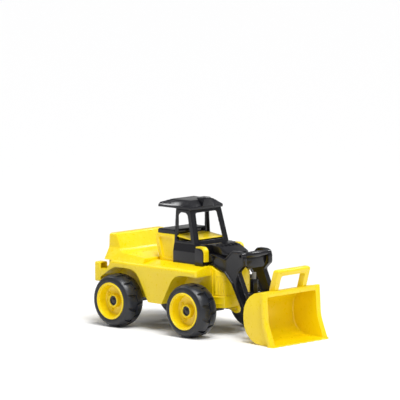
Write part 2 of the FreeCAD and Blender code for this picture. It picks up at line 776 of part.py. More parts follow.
def roof():
    """Domed roof cap with a visor edge in front and a long tail towards the rider."""
    side = cab_top_half_width + roof_side_overhang
    front = cab_front - cab_lean + roof_front_overhang

    def form(drop):
        across = front_plate([(-side + drop, roof_z - drop), (-side + drop, roof_z + roof_edge - drop),
                              (-side + roof_slope, roof_z + roof_rise - drop - roof_edge / 2, roof_round),
                              (side - roof_slope, roof_z + roof_rise - drop - roof_edge / 2, roof_round),
                              (side - drop, roof_z + roof_edge - drop), (side - drop, roof_z - drop)],
                             front - drop, roof_rear + drop)
        along = side_plate([(front - drop, roof_z - drop), (front - drop, roof_z + roof_edge - drop),
                            (front - roof_slope, roof_z + roof_rise - drop, roof_round),
                            (cab_rear - roof_slope, roof_z + roof_rise - drop, 2 * roof_round),
                            (roof_rear + drop, roof_z + 2 * roof_edge - drop),
                            (roof_rear + drop, roof_z - drop)], -far, far)
        return across.common(along)
    return minus(form(0.0), [form(shell_wall)])


def roof_pod():
    """Light pod on the roof's front slope."""
    base = roof_z + roof_edge
    top = roof_z + roof_rise + pod_rise
    pod = side_plate([(pod_ahead, base), (pod_ahead, top, pod_round),
                      (pod_ahead - pod_length, top, pod_round),
                      (pod_ahead - pod_length, base)], -pod_width / 2, pod_width / 2)
    taper = front_plate([(-pod_width / 2, base), (-pod_width / 2 + pod_taper, top, pod_round),
                         (pod_width / 2 - pod_taper, top, pod_round), (pod_width / 2, base)], far, -far)
    side = cab_top_half_width + roof_side_overhang
    front = cab_front - cab_lean + roof_front_overhang
    under = side_plate([(front, 0), (front, roof_z + roof_edge),
                        (front - roof_slope, roof_z + roof_rise, roof_round),
                        (roof_rear, roof_z + roof_rise), (roof_rear, 0)], -side, side)
    return minus(pod.common(taper), [under])


# ---------------------------------------------------------------- console, seat and lamps
def console():
    """Box behind the cab with a framed recess on each side."""
    front = cab_rear - seat_gap
    back = front - console_length
    top = deck_z + console_rise

    def form(inset):
        return side_plate([(front - inset, deck_z), (front - inset, top - inset, console_round),
                           (back + inset, top - inset, console_round),
                           (back + inset, top - console_nose, console_round),
                           (back + console_undercut + inset, deck_z)],
                          inset - console_half_width, console_half_width - inset)
    recess = side_plate([(front - console_rim, deck_z + console_rim),
                         (front - console_rim, top - console_rim, console_round),
                         (back + console_rim, top - console_rim, console_round),
                         (back + console_undercut + console_rim, deck_z + console_rim)],
                        console_half_width - console_recess, far)
    room = form(shell_wall + console_recess)
    room = joined([room, room.translated(FreeCAD.Vector(0, 0, -2 * shell_wall - console_recess))])
    return minus(form(0.0), both_sides(recess) + [room])


def console_pad():
    """Black pad on the console's top."""
    front = cab_rear - seat_gap - pad_inset
    back = cab_rear - seat_gap - console_length + pad_inset
    top = deck_z + console_rise
    return side_plate([(front, top), (front, top + pad_thickness, pad_round),
                       (back, top + pad_thickness, pad_round), (back, top)],
                      pad_inset - console_half_width, console_half_width - pad_inset)


def seat():
    """Saddle with a backrest, its flanks flared down to the fenders."""
    front = cab_rear - 2 * seat_gap - console_length
    rest_top = deck_z + backrest_rise
    flare = body_half_width - fender_round

    def form(inset):
        top_half = backrest_half_width - inset
        section = front_plate([(-flare + inset, fender_top_z),
                               (-top_half - inset / 2, deck_z + flank_rise - inset, flank_round),
                               (-top_half + 2, rest_top - inset, seat_round),
                               (top_half - 2, rest_top - inset, seat_round),
                               (top_half + inset / 2, deck_z + flank_rise - inset, flank_round),
                               (flare - inset, fender_top_z)],
                              front - inset, seat_rear + inset)
        along = side_plate([(front - inset, 0), (front - inset, deck_z + seat_rise - inset, seat_round / 2),
                            (seat_rear + backrest_foot, deck_z + 2 * seat_rise - inset, 3 * seat_round),
                            (seat_rear + backrest_thickness - inset, rest_top - inset, seat_round),
                            (seat_rear + inset, rest_top - inset, seat_round), (seat_rear + inset, 0)],
                           -far, far)
        return section.common(along)
    deck = block((-deck_half_width, deck_half_width), (seat_rear, 0), (0, deck_z))
    under = joined([main_body_outside(), deck])
    shell = minus(form(0.0), [form(shell_wall)])
    return max(minus(shell, [under]).Solids, key=lambda solid: solid.Volume)


def lamp_outline(inset=0.0):
    """Side view of a head lamp: upright block with a rounded front top."""
    low = deck_z + lamp_base
    top = low + lamp_height
    back = lamp_front - lamp_length
    return [(lamp_front - inset, low + inset), (lamp_front - inset, top - inset, lamp_round),
            (back + inset, top - inset, lamp_round / 4), (back + inset, low + inset)]


def lamp(side):
    """Yellow lamp block."""
    near, out = sorted((side * lamp_inner, side * (lamp_inner + lamp_width)))
    return side_plate(lamp_outline(), near, out)


def lamp_bezel(side):
    """Black cheek outside the lamp and the foot below it."""
    outer = lamp_inner + lamp_width
    near, out = sorted((side * outer, side * (outer + lamp_cheek)))
    front = lamp_front - bezel_set_back
    back = lamp_front - lamp_length
    top = deck_z + lamp_base + lamp_height - bezel_set_back
    cheek = side_plate([(front, deck_z), (front, top, lamp_round), (back, top, lamp_round / 4),
                        (back, deck_z)], near, out)
    near, out = sorted((side * lamp_inner, side * outer))
    foot = block((near, out), (back, front), (deck_z, deck_z + lamp_base))
    body = minus(joined([cheek, foot]), [main_body_outside()])
    return body


# ---------------------------------------------------------------- loader arms
pivot_z = deck_z + arm_pivot_rise
arm_outer = arm_inner + arm_thickness


def arm_outline():
    """Side view of a loader arm, from its root over the elbow and down to the wrist."""
    front = [(arm_pivot_ahead + c[0], pivot_z + c[1], c[2]) for c in arm_front_corners]
    wrist = [(wrist_ahead + c[0], wrist_height + c[1], c[2]) for c in wrist_corners]
    rear = [(arm_pivot_ahead + c[0], pivot_z + c[1], c[2]) for c in arm_rear_corners]
    return front + wrist + rear


def arm(side):
    """Loader arm with a shallow bordered pocket in each face and a boss at each pivot."""
    near, out = sorted((side * arm_inner, side * arm_outer))
    plate = side_plate(arm_outline(), near, out)
    points = [(at(c[0], c[1], near), c[2]) for c in arm_outline()]
    pocket = Part.Face(outline(points).makeOffset2D(-arm_rim))
    depth = FreeCAD.Vector(arm_pocket, 0, 0)
    far_face = pocket.translated(FreeCAD.Vector(arm_thickness - arm_pocket, 0, 0))
    pockets = [pocket.extrude(depth), far_face.extrude(depth)]
    bosses = [cross_rod(pivot_boss_diameter, arm_pivot_ahead, pivot_z, near, out),
              cross_rod(wrist_boss_diameter, wrist_ahead, wrist_height, near, out),
              cross_rod(cross_tube_diameter, cross_tube_at[0], cross_tube_at[1], near, out),
              cross_rod(lower_bar_diameter * 1.5, lower_bar_at[0], lower_bar_at[1], near, out)]
    body = joined([minus(plate, pockets)] + [plate.common(b) for b in bosses])
    holes = [cross_rod(pivot_pin_diameter + 2 * running_clearance, arm_pivot_ahead, pivot_z, -far, far),
             cross_rod(bucket_pin_diameter, wrist_ahead, wrist_height, -far, far)]
    return minus(body, holes)


cross_tube_at = (arm_pivot_ahead + cross_tube_ahead, pivot_z + cross_tube_rise)
lower_bar_at = (arm_pivot_ahead + ram_ahead, wrist_height + lower_bar_height)


def cross_tube():
    """Round tube that ties the arms together at the elbow."""
    return minus(cross_rod(cross_tube_diameter, *cross_tube_at, -arm_inner, arm_inner),
                 [cross_rod(cross_tube_diameter - 2 * shell_wall, *cross_tube_at, -far, far)])


def cross_plate():
    """Plate under the cross tube that narrows towards the ram."""
    top = cross_tube_at[1]
    low = top - cross_plate_height
    plate = front_plate([(-arm_inner, top), (-arm_inner, top - cross_plate_height / 2),
                         (-arm_inner + cross_plate_taper, low, cross_plate_thickness),
                         (arm_inner - cross_plate_taper, low, cross_plate_thickness),
                         (arm_inner, top - cross_plate_height / 2), (arm_inner, top)],
                        cross_tube_at[0] + cross_plate_thickness / 2,
                        cross_tube_at[0] - cross_plate_thickness / 2)
    return minus(plate, [cross_rod(cross_tube_diameter, *cross_tube_at, -far, far), ram_rod()])


def ram_rod():
    """Rod of the dummy ram, up to the cross plate."""
    low = ram_low + ram_length
    ahead = lower_bar_at[0]
    return Part.makeCylinder(ram_rod_diameter / 2, ram_rod_length, at(ahead, low), FreeCAD.Vector(0, 0, 1))


def ram_barrel():
    """Barrel of the dummy ram, standing on the lower bar."""
    ahead = lower_bar_at[0]
    barrel = Part.makeCylinder(ram_diameter / 2, ram_length, at(ahead, ram_low), FreeCAD.Vector(0, 0, 1))
    return minus(barrel, [cross_rod(lower_bar_diameter, *lower_bar_at, -far, far)])


ram_low = lower_bar_at[1]


def lower_bar():
    """Round bar between the shins that the ram stands on."""
    return cross_rod(lower_bar_diameter, *lower_bar_at, -arm_inner, arm_inner)


def arm_pivot_pin():
    """Steel pin through the hood that both arms swing on."""
    end = arm_outer + moving_gap
    return cross_rod(pivot_pin_diameter, arm_pivot_ahead, pivot_z, -end, end)


def caps(diameter, length, ahead, height, face_x):
    """Round caps on both ends of a cross pin."""
    cap = turned([(0.0, face_x), (diameter / 2, face_x), (diameter / 2, face_x + length, length / 3),
                  (0.0, face_x + length)],
                 ahead, height, 1)
    return Part.makeCompound(both_sides(cap))


def bucket_pin():
    """Steel pin through both wrists and the bucket's lugs."""
    end = arm_outer + pin_cap_length / 2
    return cross_rod(bucket_pin_diameter, wrist_ahead, wrist_height, -end, end)


def bucket_pin_caps():
    """Cups pressed on the bucket pin's ends."""
    solid = caps(pin_cap_diameter, pin_cap_length, wrist_ahead, wrist_height, arm_outer)
    return Part.makeCompound([minus(cap, [bucket_pin()]) for cap in solid.Solids])


# ---------------------------------------------------------------- bucket
def bucket_outline(inset=0.0):
    """Side view of the bucket: round back, sloping top and a front edge that sweeps to the lip."""
    return [(bucket_back + inset, inset, bucket_radius - inset),
            (bucket_back + inset, bucket_shoulder_height - inset, bucket_radius - inset),
            (bucket_top_ahead, bucket_top_height - inset),
            (bucket_throat_ahead, bucket_throat_height, bucket_throat_radius),
            (bucket_lip_ahead, bucket_lip_height), (front_reach - tooth_depth, inset)]


def bucket_shell():
    """Bucket: round-backed tray with flat cheeks, a wide front rim and a toothed lip."""
    tray = side_plate(bucket_outline(), -bucket_half_width, bucket_half_width)
    wide = side_plate(bucket_outline(), -bucket_rim_half_width, bucket_rim_half_width)
    depth = bucket_rim_depth
    behind = side_plate([(bucket_top_ahead - depth, far), (bucket_top_ahead - depth, bucket_top_height),
                         (bucket_throat_ahead - depth, bucket_throat_height, bucket_throat_radius),
                         (bucket_lip_ahead - depth, 0), (bucket_lip_ahead - depth, -far), (-far, -far),
                         (-far, far)],
                        -far, far)
    rim = minus(wide, [behind])
    room = side_plate(bucket_outline(bucket_wall), bucket_wall - bucket_half_width,
                      bucket_half_width - bucket_wall)
    mouth = block((bucket_wall - bucket_half_width, bucket_half_width - bucket_wall),
                  (bucket_top_ahead - 2 * depth, far), (bucket_wall, bucket_top_height - bucket_rim_top))
    body = minus(joined([tray, rim]), [room.common(behind), mouth])
    floor = plan_plate([(-bucket_rim_half_width, bucket_lip_ahead - depth)] + lip_points()
                       + [(bucket_rim_half_width, bucket_lip_ahead - depth)], 0, bucket_wall)
    return joined([body, floor])


def lip_points():
    """Front edge of the floor: shallow blunt teeth side by side."""
    pitch = 2 * bucket_rim_half_width / tooth_count
    points = []
    for i in range(tooth_count):
        left = i * pitch - bucket_rim_half_width
        points += [(left, front_reach - tooth_depth), (left + pitch * 0.22, front_reach, tooth_depth / 3),
                   (left + pitch * 0.78, front_reach, tooth_depth / 3)]
    return points + [(bucket_rim_half_width, front_reach - tooth_depth)]


def bucket_handle():
    """D-shaped grab handle that leans forward on the bucket's top."""
    foot = handle_foot_ahead
    half = handle_thickness / 2
    low = bucket_top_height
    top = low + handle_height
    slope = handle_lean / handle_height
    start = low - bucket_wall * 4
    side = side_plate([(foot - half - slope * (low - start), start),
                       (foot - half + handle_lean, top, handle_round),
                       (foot + half + handle_lean, top, handle_round),
                       (foot + half - slope * (low - start), start)],
                      -handle_half_width, handle_half_width)
    inner = handle_half_width - handle_leg
    gap = front_plate([(-inner, 0), (-inner, top - handle_bar, handle_round),
                       (inner, top - handle_bar, handle_round), (inner, 0)],
                      far, -far)
    corner = front_plate([(-handle_half_width, 0), (-handle_half_width, top, handle_round),
                          (handle_half_width, top, handle_round), (handle_half_width, 0)], far, -far)
    solid = side_plate(bucket_outline(), -far, far)
    return minus(side.common(corner), [gap, solid])


def bucket_lug(side):
    """Hinge lug on the bucket's back."""
    near, out = sorted((side * lug_inner, side * (lug_inner + lug_thickness)))
    reach = bucket_back + bucket_radius / 2
    plate = side_plate([(wrist_ahead - lug_radius, wrist_height - lug_radius, lug_radius - 1),
                        (wrist_ahead - lug_radius, wrist_height + lug_radius, lug_radius - 1),
                        (reach, wrist_height + 2 * lug_radius), (reach, wrist_height - 2 * lug_radius)],
                       near, out)
    hole = cross_rod(bucket_pin_diameter + 2 * running_clearance, wrist_ahead, wrist_height, -far, far)
    return minus(plate, [hole, side_plate(bucket_outline(), -far, far)])


# ---------------------------------------------------------------- the parts
parts = {
    "main_body": main_body(),
    "underbody_tray": underbody_tray(),
    "rear_bumper": rear_bumper(),
    "nose": nose(),
    "tow_eye": tow_eye(),
    "hood": hood(),
    "cab_frame": cab_frame(),
    "cab_deck": cab_deck(),
    "roof": roof(),
    "roof_pod": roof_pod(),
    "console": console(),
    "console_pad": console_pad(),
    "seat": seat(),
    "arm_cross_tube": cross_tube(),
    "arm_cross_plate": cross_plate(),
    "ram_rod": ram_rod(),
    "ram_barrel": ram_barrel(),
    "arm_lower_bar": lower_bar(),
    "arm_pivot_pin": arm_pivot_pin(),
    "arm_pivot_caps": caps(pivot_cap_diameter, pivot_cap_length, arm_pivot_ahead, pivot_z,
                           arm_outer + moving_gap),
    "bucket_pin": bucket_pin(),
    "bucket_pin_caps": bucket_pin_caps(),
    "bucket_shell": bucket_shell(),
    "bucket_handle": bucket_handle(),
    "push_nuts": push_nuts(),
    "axle_block_screws": Part.makeCompound(block_screws(axle_ahead["front"])
                                           + block_screws(axle_ahead["rear"])),
    "axle_spacers": axle_spacers(),
}
for side_name, side in wheel_side.items():
    parts["arm_" + side_name] = arm(side)
    parts["lamp_" + side_name] = lamp(side)
    parts["lamp_bezel_" + side_name] = lamp_bezel(side)
    parts["bucket_lug_" + side_name] = bucket_lug(side)
for axle_name, ahead in axle_ahead.items():
    parts["axle_" + axle_name] = axle(ahead)
    parts["axle_block_" + axle_name] = axle_block(ahead)
    for side_name, side in wheel_side.items():
        wheel = "_" + axle_name + "_" + side_name
        parts["tyre" + wheel] = tyre(ahead, side)
        parts["rim" + wheel] = rim(ahead, side)
        parts["hub_cap" + wheel] = hub_cap(ahead, side)
        parts["wheel_bushes" + wheel] = wheel_bushes(ahead, side)

os.makedirs("parts", exist_ok=True)
for name, shape in parts.items():
    shape.exportStep("parts/" + name + ".step")
    print(name, len(shape.Solids), shape.isValid(), round(shape.Volume / 1000, 1))
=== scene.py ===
import bpy
import json
import math
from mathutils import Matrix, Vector


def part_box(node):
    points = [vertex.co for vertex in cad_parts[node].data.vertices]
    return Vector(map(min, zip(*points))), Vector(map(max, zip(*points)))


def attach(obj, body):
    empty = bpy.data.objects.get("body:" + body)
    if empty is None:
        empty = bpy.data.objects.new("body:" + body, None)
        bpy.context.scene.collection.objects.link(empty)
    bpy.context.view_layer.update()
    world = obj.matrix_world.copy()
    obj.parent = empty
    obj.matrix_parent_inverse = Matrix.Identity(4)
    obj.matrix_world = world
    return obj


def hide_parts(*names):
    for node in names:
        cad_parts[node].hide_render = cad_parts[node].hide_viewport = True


# Ride-on front loader: the moulded looks of every piece, in metres, in the frame of the model.
# The front faces -Y, +X is the toy's own left side and +Z is up.

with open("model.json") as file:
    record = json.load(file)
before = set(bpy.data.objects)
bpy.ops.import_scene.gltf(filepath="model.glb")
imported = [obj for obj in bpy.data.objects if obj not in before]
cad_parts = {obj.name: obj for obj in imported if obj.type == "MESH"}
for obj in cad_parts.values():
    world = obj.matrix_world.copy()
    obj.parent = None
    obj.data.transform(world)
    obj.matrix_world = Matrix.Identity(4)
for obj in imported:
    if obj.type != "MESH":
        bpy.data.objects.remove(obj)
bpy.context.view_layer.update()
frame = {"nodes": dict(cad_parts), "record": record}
nodes = frame["nodes"]
body_of_node = {node: body for body, members in frame["record"]["behaviour"]["bodies"].items()
                for node in members}
slot_of_node = {s["node"]: s["material_slot"] for s in frame["record"]["subparts"]}
MM = 0.001
MERGE = 0.02 * MM                       # points nearer than this are one
SMOOTH = math.radians(40)               # faces that meet flatter than this are shaded as one
DISH_SMOOTH = math.radians(35)
CASTING_SMOOTH = math.radians(38)
WHEEL_STEPS, FINE_STEPS = 96, 192       # faces round a turned piece
WHEELS = ("front_right", "front_left", "rear_right", "rear_left")


# ---------------------------------------------------------------- modelling helpers
def select_only(piece):
    """Deselect everything and make one piece active."""
    bpy.ops.object.select_all(action="DESELECT")
    piece.select_set(True)
    bpy.context.view_layer.objects.active = piece
    return piece


def edit(piece):
    """Edit mode on one piece with nothing selected."""
    select_only(piece)
    bpy.ops.object.mode_set(mode="EDIT")
    bpy.ops.mesh.select_mode(type="VERT")
    bpy.ops.mesh.select_all(action="DESELECT")
    bpy.ops.object.mode_set(mode="OBJECT")
    return piece


def grab(piece):
    """Edit mode on one piece with all of it selected."""
    edit(piece)
    bpy.ops.object.mode_set(mode="EDIT")
    bpy.ops.mesh.select_all(action="SELECT")
    return piece


def done():
    """Back to object mode."""
    bpy.ops.object.mode_set(mode="OBJECT")


def modify(piece, kind, **settings):
    """Add a modifier and apply it."""
    select_only(piece)
    modifier = piece.modifiers.new(kind.title(), kind)
    for key, value in settings.items():
        setattr(modifier, key, value)
    bpy.ops.object.modifier_apply(modifier=modifier.name)
    return piece


def shaded(piece, angle):
    """Shade smoothly across edges flatter than an angle."""
    select_only(piece)
    bpy.ops.object.shade_smooth_by_angle(angle=angle)
    return piece


def soften(piece, width, segments=3, angle=32):
    """Round the edges as a mould does, and shade smoothly between them."""
    modify(piece, "BEVEL", width=width, segments=segments, limit_method="ANGLE",
           angle_limit=math.radians(angle), harden_normals=False, miter_outer="MITER_ARC")
    return shaded(piece, SMOOTH)


def tidy(piece):
    """Merge doubles and point the faces outwards."""
    grab(piece)
    bpy.ops.mesh.remove_doubles(threshold=MERGE)
    bpy.ops.mesh.normals_make_consistent(inside=False)
    done()
    return piece


def place_mesh(piece):
    """Put the piece's place into its mesh, with its object at the origin."""
    select_only(piece)
    bpy.ops.object.transform_apply(location=True, rotation=True, scale=True)
    return piece


def drawn(name, corners):
    """Closed wire drawn from corner to corner."""
    bpy.ops.object.select_all(action="DESELECT")
    bpy.ops.mesh.primitive_plane_add(size=MM, location=corners[0])
    piece = place_mesh(bpy.context.active_object)
    piece.name = name
    bpy.ops.object.mode_set(mode="EDIT")
    bpy.ops.mesh.select_mode(type="VERT")
    bpy.ops.mesh.select_all(action="SELECT")
    bpy.ops.mesh.merge(type="CENTER")
    for here, there in zip(corners, corners[1:] + corners[:1]):
        bpy.ops.mesh.extrude_region_move(TRANSFORM_OT_translate={"value": there - here})
    bpy.ops.mesh.select_all(action="SELECT")
    bpy.ops.mesh.remove_doubles(threshold=MERGE / 2)
    done()
    return piece


def rounded(outline, steps=5):
    """Corner points (a, b) of an outline whose corners are (a, b, radius)."""
    points = []
    for i, corner in enumerate(outline):
        here = Vector(corner[:2])
        back = Vector(outline[i - 1][:2]) - here
        on = Vector(outline[(i + 1) % len(outline)][:2]) - here
        if len(corner) < 3 or not corner[2]:
            points.append(here)
            continue
        half = back.angle(on) / 2
        reach = corner[2] / math.tan(half)
        back.normalize()
        on.normalize()
        middle = here + (back + on).normalized() * corner[2] / math.sin(half)
        start = (here + back * reach - middle).normalized()
        end = (here + on * reach - middle).normalized()
        for k in range(steps + 1):
            points.append(middle + start.slerp(end, k / steps) * corner[2])
    return points


def plate(name, outline, along, low, high):
    """Flat shape through (a, b, radius) corners across an axis, drawn out along it from low to high."""
    first, second = [a for a in (0, 1, 2) if a != along]
    corners = []
    for point in rounded(outline):
        corner = Vector((low, low, low))
        corner[first], corner[second] = point
        corners.append(corner)
    piece = grab(drawn(name, corners))
    bpy.ops.mesh.edge_face_add()
    move = Vector((0, 0, 0))
    move[along] = high - low
    bpy.ops.mesh.extrude_region_move(TRANSFORM_OT_translate={"value": move})
    done()
    return tidy(piece)


def lathe(name, profile, centre, side, steps=WHEEL_STEPS):
    """Ring through (radius, across) corners, spun about the wheel's axis."""
    corners = [Vector((side * across, centre.y, centre.z + radius)) for radius, across in profile]
    piece = grab(drawn(name, corners))
    bpy.ops.mesh.spin(steps=steps, angle=2 * math.pi, center=(0, centre.y, centre.z), axis=(1, 0, 0))
    done()
    return tidy(piece)


def cut(piece, cutter):
    """Take a cutter's form out of a piece."""
    modify(piece, "BOOLEAN", operation="DIFFERENCE", object=cutter, solver="EXACT")
    bpy.data.objects.remove(cutter)
    return piece


def join(name, pieces):
    """One piece from several."""
    bpy.ops.object.select_all(action="DESELECT")
    for piece in pieces:
        piece.select_set(True)
    bpy.context.view_layer.objects.active = pieces[0]
    if len(pieces) > 1:
        bpy.ops.object.join()
    pieces[0].name = name
    return pieces[0]


def copy_of(piece, name):
    """Copy of a finished piece with its own mesh."""
    other = piece.copy()
    other.data = piece.data.copy()
    other.name = name
    bpy.context.scene.collection.objects.link(other)
    return other


def turned_copy(piece, name, angle, centre):
    """Copy of a piece turned about the cross axis through a centre, in its own mesh."""
    other = copy_of(piece, name)
    grab(other)
    bpy.ops.transform.rotate(value=angle, orient_axis="X", center_override=centre)
    done()
    return other


def moulding(node, width):
    """Copy of a node's form with its flat faces made whole, ready for moulded edges."""
    piece = copy_of(nodes[node], node + "_moulding")
    piece.parent = None
    for key in list(piece.keys()):
        del piece[key]
    select_only(piece)
    bpy.ops.mesh.customdata_custom_splitnormals_clear()
    grab(piece)
    bpy.ops.mesh.remove_doubles(threshold=MERGE / 2)
    bpy.ops.mesh.tris_convert_to_quads(face_threshold=math.radians(1.0), shape_threshold=math.pi)
    done()
    return soften(piece, width)


def finish_piece(piece, finish, body, *stands_for):
    """Give a piece its material and body, and hide the nodes it stands for."""
    piece.data.materials.clear()
    piece.data.materials.append(finish)
    if stands_for:
        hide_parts(*stands_for)
    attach(piece, body)
    return piece


# ---------------------------------------------------------------- finishes
def new_finish(name, slot):
    """Empty node material, with its shader and a way to add nodes."""
    finish = bpy.data.materials.new(name)
    finish.use_nodes = True
    finish["slot"] = slot
    tree = finish.node_tree
    shader = tree.nodes["Principled BSDF"]

    def node(kind, inputs=None, **settings):
        made = tree.nodes.new(kind)
        for key, value in settings.items():
            setattr(made, key, value)
        for key, value in (inputs or {}).items():
            if isinstance(value, bpy.types.NodeSocket):
                tree.links.new(value, made.inputs[key])
            else:
                made.inputs[key].default_value = value
        return made
    return finish, tree, shader, node


def colour_steps(node, source, steps):
    """Colour ramp with (position, colour) steps."""
    ramp = node("ShaderNodeValToRGB", {"Fac": source})
    for element, (position, colour) in zip(ramp.color_ramp.elements, (steps[0], steps[-1])):
        element.position = position
        element.color = (*colour, 1)
    for position, colour in steps[1:-1]:
        ramp.color_ramp.elements.new(position).color = (*colour, 1)
    return ramp.outputs["Color"]


def moulded_plastic(name, slot, deep, base, worn, roughness, grain, coat=0.0, specular=0.5):
    """Glossy moulded plastic: soft colour drift, rubbed edges, fine orange peel and scuffs."""
    finish, tree, shader, node = new_finish(name, slot)
    place = node("ShaderNodeTexCoord").outputs["Object"]

    def noise(scale, detail, source=place, **settings):
        """Noise over the piece, its grains about one over the scale across in metres."""
        inputs = {"Vector": source, "Scale": scale, "Detail": detail, **settings}
        return node("ShaderNodeTexNoise", inputs).outputs["Fac"]
    drift = noise(6.0, 3.0)
    colour = colour_steps(node, drift, [(0.3, deep), (0.55, base), (0.8, base)])
    edge = node("ShaderNodeNewGeometry").outputs["Pointiness"]
    scuff = noise(90.0, 5.0, Roughness=0.7)
    lift = node("ShaderNodeMath", {0: edge, 1: scuff}, operation="MULTIPLY").outputs[0]
    wear = {"Value": lift, "From Min": 0.35, "From Max": 0.50, "To Max": 0.6}
    rubbed = node("ShaderNodeMapRange", wear).outputs[0]
    mixed = node("ShaderNodeMix", {"Factor": rubbed, 6: colour, 7: (*worn, 1)}, data_type="RGBA")
    tree.links.new(mixed.outputs[2], shader.inputs["Base Color"])
    stretch = node("ShaderNodeMapping", {"Vector": place, "Scale": (14.0, 22.0, 18.0)}).outputs[0]
    sheen_range = {"Value": noise(5.0, 6.0, stretch), "From Min": 0.35, "From Max": 0.75,
                   "To Min": roughness - 0.03, "To Max": roughness + 0.05}
    tree.links.new(node("ShaderNodeMapRange", sheen_range).outputs[0], shader.inputs["Roughness"])
    peel = {"Height": noise(420.0, 2.0), "Strength": grain, "Distance": 0.3 * MM}
    fine = node("ShaderNodeBump", peel).outputs[0]
    wave = {"Height": noise(22.0, 1.0), "Strength": 0.10, "Distance": 2 * MM, "Normal": fine}
    tree.links.new(node("ShaderNodeBump", wave).outputs[0], shader.inputs["Normal"])
    shader.inputs["Specular IOR Level"].default_value = specular
    shader.inputs["Coat Weight"].default_value = coat
    shader.inputs["Coat Roughness"].default_value = 0.12
    return finish


def zinc_steel(name, slot):
    """Zinc-plated rod: fine turning lines and dull patches."""
    finish, tree, shader, node = new_finish(name, slot)
    place = node("ShaderNodeTexCoord").outputs["Object"]
    lines = node("ShaderNodeMapping", {"Vector": place, "Scale": (900.0, 40.0, 40.0)}).outputs[0]
    turning = node("ShaderNodeTexNoise", {"Vector": lines, "Scale": 1.0, "Detail": 3.0}).outputs["Fac"]
    patch = node("ShaderNodeTexNoise", {"Vector": place, "Scale": 70.0, "Detail": 4.0}).outputs["Fac"]
    dull, bright = (0.38, 0.38, 0.40), (0.66, 0.66, 0.68)
    tree.links.new(colour_steps(node, patch, [(0.3, dull), (0.7, bright)]), shader.inputs["Base Color"])
    gloss = node("ShaderNodeMapRange", {"Value": turning, "To Min": 0.25, "To Max": 0.5}).outputs[0]
    tree.links.new(gloss, shader.inputs["Roughness"])
    bump = node("ShaderNodeBump", {"Height": turning, "Strength": 0.3, "Distance": 0.2 * MM}).outputs[0]
    tree.links.new(bump, shader.inputs["Normal"])
    shader.inputs["Metallic"].default_value = 1.0
    return finish


yellow = moulded_plastic("yellow_moulded_plastic", "yellow_plastic", deep=(0.86, 0.62, 0.001),
                         base=(0.91, 0.68, 0.001), worn=(0.95, 0.76, 0.06), roughness=0.30, grain=0.12,
                         coat=0.15)
black = moulded_plastic("black_moulded_plastic", "black_plastic", deep=(0.004, 0.004, 0.006),
                        base=(0.008, 0.008, 0.011), worn=(0.03, 0.03, 0.035), roughness=0.15, grain=0.08,
                        specular=0.45)
tread_black = moulded_plastic("tyre_moulded_plastic", "tyre_plastic", deep=(0.008, 0.009, 0.012),
                              base=(0.016, 0.018, 0.024), worn=(0.05, 0.05, 0.06), roughness=0.34, grain=0.30)
grey = moulded_plastic("grey_bush_plastic", "grey_plastic", deep=(0.16, 0.16, 0.17),
                       base=(0.23, 0.23, 0.24), worn=(0.35, 0.35, 0.36), roughness=0.45, grain=0.25)
steel = zinc_steel("zinc_plated_steel", "steel")
finish_of_slot = {finish["slot"]: finish for finish in (yellow, black, tread_black, grey, steel)}


# ---------------------------------------------------------------- wheels
def wheel_centre(wheel):
    """Middle of a wheel and the side it is on."""
    low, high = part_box("tyre_" + wheel)
    middle = (low + high) / 2
    return middle, (1 if middle.x > 0 else -1)


def reach(node, side):
    """Outermost and innermost places across, and the radius, of a wheel's piece."""
    low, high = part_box(node)
    places = sorted((side * low.x, side * high.x))
    return places[1], places[0], (high.z - low.z) / 2


def from_corner(radius, across, steps):
    """Profile corners (radius, across) given in millimetres from one corner."""
    return [(radius + out * MM, across + along * MM) for out, along in steps]


def arc(radius, across, sizes, start, end, steps):
    """Profile corners round a centre, by degrees from straight across to straight out."""
    turns = [math.radians(start + (end - start) * k / steps) for k in range(steps + 1)]
    return [(radius + sizes[0] * math.sin(turn), across + sizes[1] * math.cos(turn)) for turn in turns]


def tyre_carcass(wheel):
    """Smooth hollow tyre with round shoulders and a moulded line on its side."""
    centre, side = wheel_centre(wheel)
    outer, inner, radius = reach("tyre_" + wheel, side)
    bead = reach("rim_" + wheel, side)[2]
    lug_height, shoulder, hub = 5.5 * MM, 13 * MM, 14 * MM
    crown = radius - lug_height - shoulder
    profile = from_corner(bead, outer, [(0, -1), (2, 0), (6, 0), (7, -1), (8.2, -1), (9.2, -0.2)])
    profile += arc(crown, outer - shoulder, (shoulder, shoulder), 0, 90, 8)
    profile += arc(crown, inner + shoulder, (shoulder, shoulder), 90, 180, 8)
    profile += from_corner(hub, inner, [(14, 0), (12, 3), (0, 3), (0, 6)])
    profile += from_corner(bead, inner, [(0, 6)])
    return lathe("carcass", profile, centre, side)


def tyre_block(wheel, row):
    """One chunky tread block, leaning round the tread and rolling over the shoulder."""
    centre, side = wheel_centre(wheel)
    outer_face, inner_face, top = reach("tyre_" + wheel, side)
    middle, half = (outer_face + inner_face) / 2, (outer_face - inner_face) / 2
    inner, outer = middle + row * 1.5 * MM, middle + row * (half - 0.6 * MM)
    bend, corner = outer - row * 22 * MM, 3 * MM
    plan = [(inner, -21), (inner, 12), (bend, 17), (outer, 23), (outer, -14), (bend, -19)]
    if side * row < 0:
        plan = plan[::-1]
    foot, head = top - 26 * MM, top + 8 * MM
    outline = [(side * across, centre.y + along * MM, corner) for across, along in plan]
    piece = plate("lug", outline, 2, centre.z + foot, centre.z + head)
    root = 22 * MM
    fall = [(0, inner - row * 6 * MM), (0.4, middle + row * 14 * MM), (3, middle + row * 27 * MM),
            (9, middle + row * 36 * MM)]
    profile = [(top - root, fall[0][1])]
    profile += [(top - drop * MM, across) for drop, across in fall]
    profile += [(top - root, middle + row * (half - 0.1 * MM))]
    crown = lathe("crown", profile, centre, side, FINE_STEPS)
    modify(piece, "BOOLEAN", operation="INTERSECT", object=crown, solver="EXACT")
    bpy.data.objects.remove(crown)
    return tidy(piece)


